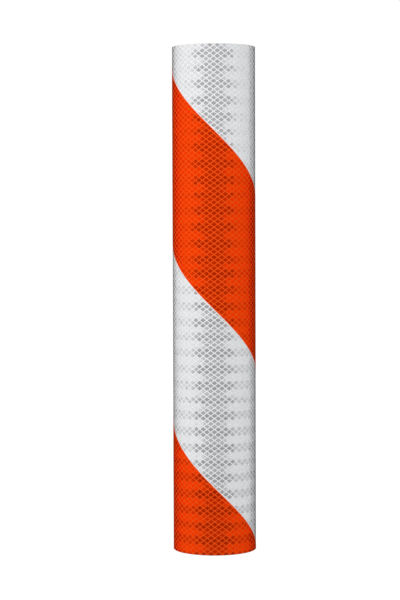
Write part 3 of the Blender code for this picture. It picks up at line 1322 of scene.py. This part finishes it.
def bush_body(plug):
    """The bush's barrel with its threaded socket and threaded upper end, and its hexagon flange."""
    low = BUSH_LOW.z
    high = BUSH_HIGH.z
    socket_depth = 45 * MM
    drill_point = 4 * MM
    socket_top = low + socket_depth
    thread_depth = 1 * MM
    root = plug.socket_radius + 0.9 * thread_depth
    outer_root = BUSH_RADIUS - thread_depth
    thread_start = WASHER_LOW.z - 2 * MM
    edge = 1 * MM
    profile = [
        (0, socket_top + drill_point),
        (root, socket_top),
        (root, low + edge),
        (root + edge, low),
        (BUSH_RADIUS, low),
        (BUSH_RADIUS, thread_start),
        (outer_root, thread_start + edge),
        (outer_root, high - edge),
        (outer_root - edge, high),
        (0, high),
    ]
    bm = turned(profile, SMALL_ROUND)
    flange = chamfered_hexagon(BUSH_HIGH.y - BUSH_LOW.y, low, low + FLANGE_HEIGHT, ("low",))
    flange = cut(flange, rod(outer_root, low - MM, low + FLANGE_HEIGHT + MM, SMALL_ROUND))
    bm = cut(bm, flange, "UNION")
    add_shell(bm, thread_coil(root, plug.socket_radius, low + edge, socket_top, plug.thread_pitch))
    upper = (outer_root, BUSH_RADIUS, thread_start + edge, high - edge, plug.thread_pitch)
    add_shell(bm, thread_coil(*upper))
    return bm


def washer_body():
    """The washer that spreads the nut's load over the boss."""
    bore = BUSH_RADIUS + FIT_GAP
    outer = WASHER_HIGH.x
    profile = [
        (bore, WASHER_LOW.z),
        (outer, WASHER_LOW.z),
        (outer, WASHER_HIGH.z),
        (bore, WASHER_HIGH.z),
    ]
    bm = turned(profile, SMALL_ROUND)
    soften(bm, 0.5 * MM, segments=3)
    return bm


def nut_body():
    """The nut that clamps the bush, with its corners turned off on both faces."""
    bore = BUSH_RADIUS + FIT_GAP
    nut = chamfered_hexagon(NUT_HIGH.y - NUT_LOW.y, NUT_LOW.z, NUT_HIGH.z, ("low", "high"))
    return cut(nut, rod(bore, NUT_LOW.z - MM, NUT_HIGH.z + MM, SMALL_ROUND))


class POST_OT_bush(bpy.types.Operator):
    """Makes the threaded anchor bush, its washer and its lock nut"""

    bl_idname = "post.bush"
    bl_label = "Anchor Bush, Washer and Nut"

    def execute(self, context):
        plug = context.scene.post_plug
        steel = turned_steel_finish()
        formed = formed_steel_finish()
        make_object("anchor_bush", bush_body(plug), steel, "post", "bush_steel", "threaded_bush")
        make_object("pressed_washer", washer_body(), formed, "post", "washer_steel", "load_washer")
        make_object("chamfered_nut", nut_body(), formed, "post", "nut_steel", "lock_nut")
        return {"FINISHED"}


class POST_OT_frame_finishes(bpy.types.Operator):
    """Gives the tube and the rivets of the frame their finishes"""

    bl_idname = "post.frame_finishes"
    bl_label = "Tube and Rivet Finishes"

    def execute(self, context):
        finishes = {"post_tube": tube_finish()}
        aluminium = rivet_finish()
        for node in RIVET_NODES:
            finishes[node] = aluminium
        for node, finish in finishes.items():
            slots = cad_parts[node].material_slots
            if not slots:
                raise RuntimeError(f"{node} has no material slot")
            for slot in slots:
                slot.material = finish
        return {"FINISHED"}


# ---------------------------------------------------------------- stage


def level_ramp(tree, value, levels):
    """A ramp of greys, from places between 0 and 1 to the level at each."""
    ramp = add_node(tree, "ShaderNodeValToRGB", None, {"Fac": value})
    stops = ramp.color_ramp.elements
    while len(stops) > 1:
        stops.remove(stops[-1])
    for index, (place, level) in enumerate(levels.items()):
        stop = stops[0] if index == 0 else stops.new(place)
        stop.position = place
        stop.color = (level, level, level, 1.0)
    return ramp.outputs["Color"]


def tent_wall(tree, split):
    """Level of the tent's wall in each direction, with a dark gap in front and dark strips behind."""
    back = add_node(
        tree, "ShaderNodeMath", {"operation": "MULTIPLY"}, {0: split.outputs["Y"], 1: -1.0}
    ).outputs[0]
    angle = add_node(
        tree, "ShaderNodeMath", {"operation": "ARCTAN2"}, {0: split.outputs["X"], 1: back}
    ).outputs[0]
    turn = add_node(
        tree,
        "ShaderNodeMapRange",
        None,
        {"Value": angle, "From Min": -math.pi, "From Max": math.pi},
    ).outputs[0]
    # Levels by the direction in degrees, 0 towards the camera and 90 to the right.
    left = {-180: 0.33, -172: 0.22, -162: 0.06, -152: 0.14, -142: 0.35, -122: 0.77, -100: 0.88}
    right = {100: 0.77, 115: 0.75, 121: 0.42, 142: 0.33, 152: 0.08, 164: 0.04, 172: 0.2, 180: 0.33}
    low_gap = {-64: 0.91, -60: 0.86, -54: 0.44, 0: 0.4, 52: 0.43, 58: 0.74, 64: 0.78}
    high_gap = {-60: 0.86, -38: 0.86, -28: 0.4, 0: 0.33, 28: 0.4, 38: 0.78}
    walls = []
    for gap in (low_gap, high_gap):
        levels = {**left, **gap, **right}
        places = {(degrees + 180) / 360: level for degrees, level in levels.items()}
        walls.append(level_ramp(tree, turn, places))
    # The gap is wide low down and narrow higher up, and changes between these two heights.
    gap_narrows, gap_narrowed = 0.08, 0.22
    above_gap = add_node(
        tree,
        "ShaderNodeMapRange",
        {"interpolation_type": "SMOOTHSTEP"},
        {"Value": split.outputs["Z"], "From Min": gap_narrows, "From Max": gap_narrowed},
    ).outputs[0]
    return add_node(
        tree,
        "ShaderNodeMix",
        {"data_type": "RGBA"},
        {"Factor": above_gap, 6: walls[0], 7: walls[1]},
    ).outputs[2]


def light_tent():
    """A white tent round the post with a dark gap on the camera's side, as light from all round."""
    world = bpy.data.worlds.new("light_tent")
    world.use_nodes = True
    tree = world.node_tree
    tree.nodes.clear()
    direction = add_node(tree, "ShaderNodeTexCoord").outputs["Generated"]
    split = add_node(tree, "ShaderNodeSeparateXYZ", None, {0: direction})
    wall = tent_wall(tree, split)
    height = split.outputs["Z"]
    # The wall dims towards the floor, most of all just under the height of the post's foot.
    from_floor = add_node(
        tree, "ShaderNodeMapRange", None, {"Value": height, "From Min": -0.3, "From Max": 0.1}
    ).outputs[0]
    dim = level_ramp(tree, from_floor, {0.0: 0.62, 0.31: 0.7, 0.46: 0.85, 1.0: 1.0})
    dimmed = add_node(
        tree,
        "ShaderNodeMix",
        {"data_type": "RGBA", "blend_type": "MULTIPLY"},
        {"Factor": 1.0, 6: wall, 7: dim},
    ).outputs[2]
    lid_start, lid_end = 0.5, 0.85
    lid = add_node(
        tree,
        "ShaderNodeMapRange",
        {"interpolation_type": "SMOOTHSTEP"},
        {"Value": height, "From Min": lid_start, "From Max": lid_end},
    ).outputs[0]
    level = add_node(
        tree,
        "ShaderNodeMix",
        {"data_type": "RGBA"},
        {"Factor": lid, 6: dimmed, 7: (1.0, 1.0, 1.0, 1.0)},
    ).outputs[2]
    light = add_node(tree, "ShaderNodeBackground", None, {"Color": level, "Strength": 1.02})
    add_node(tree, "ShaderNodeOutputWorld", None, {"Surface": light.outputs[0]})
    return world


def soft_lamp():
    """A soft lamp up and to the left of the camera, which lights the matt weld lines."""
    data = bpy.data.lights.new("soft_lamp", "AREA")
    data.size = 0.7
    data.energy = 11.5
    lamp = bpy.data.objects.new("soft_lamp", data)
    place = Vector((-0.3, -1.3, 0.68))
    aim = Vector((0, 0, 0.36)) - place
    turn = aim.to_track_quat("-Z", "Y").to_matrix().to_4x4()
    lamp.matrix_world = Matrix.Translation(place) @ turn
    lamp.visible_glossy = False
    bpy.context.scene.collection.objects.link(lamp)


def cove_material():
    """Matt white paper lit from behind, clear from underneath so that the foot can be looked at."""
    finish, tree = new_material("white_paper_cove")
    glow = add_node(
        tree, "ShaderNodeEmission", None, {"Color": (1.0, 1.0, 1.0, 1.0), "Strength": 1.05}
    )
    clear = add_node(tree, "ShaderNodeBsdfTransparent")
    behind = add_node(tree, "ShaderNodeNewGeometry").outputs["Backfacing"]
    both = add_node(
        tree,
        "ShaderNodeMixShader",
        None,
        {0: behind, 1: glow.outputs[0], 2: clear.outputs[0]},
    )
    finish_tree(tree, both.outputs[0])
    return finish


def paper_cove(radius):
    """A round floor of white paper that bends up into a wall; only the camera sees it."""
    bend = radius * 0.25
    bend_steps = 8
    profile = [(0, FOOT), (radius - bend, FOOT)]
    for step in range(1, bend_steps + 1):
        angle = math.pi / 2 * step / bend_steps
        out = radius - bend + bend * math.sin(angle)
        profile.append((out, FOOT + bend * (1 - math.cos(angle))))
    profile += [(radius, radius), (0, radius)]
    bm = turned(profile, COVE_ROUND)
    bmesh.ops.reverse_faces(bm, faces=bm.faces)
    mesh = bpy.data.meshes.new("studio_cove")
    bm.to_mesh(mesh)
    bm.free()
    mesh.materials.append(cove_material())
    cove = bpy.data.objects.new("studio_cove", mesh)
    bpy.context.scene.collection.objects.link(cove)
    cove.visible_diffuse = False
    cove.visible_glossy = False
    cove.visible_transmission = False
    cove.visible_shadow = False


def aimed_camera(stage):
    """The camera in front of the post, looking slightly down at it."""
    # Small turns from level, in radians.
    yaw, pitch, roll = -0.008, 0.0442, -0.0032
    forward = Vector((math.sin(yaw), math.cos(yaw), 0))
    right = Vector((math.cos(yaw), -math.sin(yaw), 0))
    up = Vector((0, 0, 1))
    ahead = forward * math.cos(pitch) - up * math.sin(pitch)
    above = up * math.cos(pitch) + forward * math.sin(pitch)
    side = right * math.cos(roll) + above * math.sin(roll)
    crown = above * math.cos(roll) - right * math.sin(roll)
    data = bpy.data.cameras.new("camera")
    data.lens = stage.lens
    data.sensor_width = 36.0
    camera = bpy.data.objects.new("camera", data)
    bpy.context.scene.collection.objects.link(camera)
    turn = Matrix((side, crown, -ahead)).transposed().to_4x4()
    place = Matrix.Translation((0, -stage.camera_distance, stage.camera_height))
    camera.matrix_world = place @ turn
    return camera


class POST_OT_stage(bpy.types.Operator):
    """Sets up the pale cove, the light tent and the camera"""

    bl_idname = "post.stage"
    bl_label = "Stage"

    def execute(self, context):
        scene = context.scene
        stage = scene.post_stage
        scene.world = light_tent()
        scene.view_settings.view_transform = "Standard"
        soft_lamp()
        paper_cove(stage.floor_radius)
        scene.camera = aimed_camera(stage)
        return {"FINISHED"}


# ---------------------------------------------------------------- panel and run


class POST_PT_sidebar(bpy.types.Panel):
    """Steps that build the post"""

    bl_idname = "POST_PT_sidebar"
    bl_label = "Delineator Post"
    bl_space_type = "VIEW_3D"
    bl_region_type = "UI"
    bl_category = "Post"

    def draw(self, context):
        scene = context.scene
        groups = (
            (scene.post_sheeting, (POST_OT_sheeting,)),
            (scene.post_cap, (POST_OT_cap,)),
            (scene.post_plug, (POST_OT_plug, POST_OT_bush, POST_OT_frame_finishes)),
            (scene.post_stage, (POST_OT_stage,)),
        )
        for settings, steps in groups:
            box = self.layout.box()
            for name in settings.__annotations__:
                box.prop(settings, name)
            for step in steps:
                box.operator(step.bl_idname)


CLASSES = (
    SheetingSettings,
    CapSettings,
    PlugSettings,
    StageSettings,
    POST_OT_sheeting,
    POST_OT_cap,
    POST_OT_plug,
    POST_OT_bush,
    POST_OT_frame_finishes,
    POST_OT_stage,
    POST_PT_sidebar,
)


def register():
    for cls in CLASSES:
        bpy.utils.register_class(cls)
    bpy.types.Scene.post_sheeting = bpy.props.PointerProperty(type=SheetingSettings)
    bpy.types.Scene.post_cap = bpy.props.PointerProperty(type=CapSettings)
    bpy.types.Scene.post_plug = bpy.props.PointerProperty(type=PlugSettings)
    bpy.types.Scene.post_stage = bpy.props.PointerProperty(type=StageSettings)


def unregister():
    del bpy.types.Scene.post_stage
    del bpy.types.Scene.post_plug
    del bpy.types.Scene.post_cap
    del bpy.types.Scene.post_sheeting
    for cls in reversed(CLASSES):
        bpy.utils.unregister_class(cls)


def main():
    register()
    bpy.ops.post.sheeting()
    bpy.ops.post.cap()
    bpy.ops.post.plug()
    bpy.ops.post.bush()
    bpy.ops.post.frame_finishes()
    bpy.ops.post.stage()


if __name__ == "__main__":
    main()
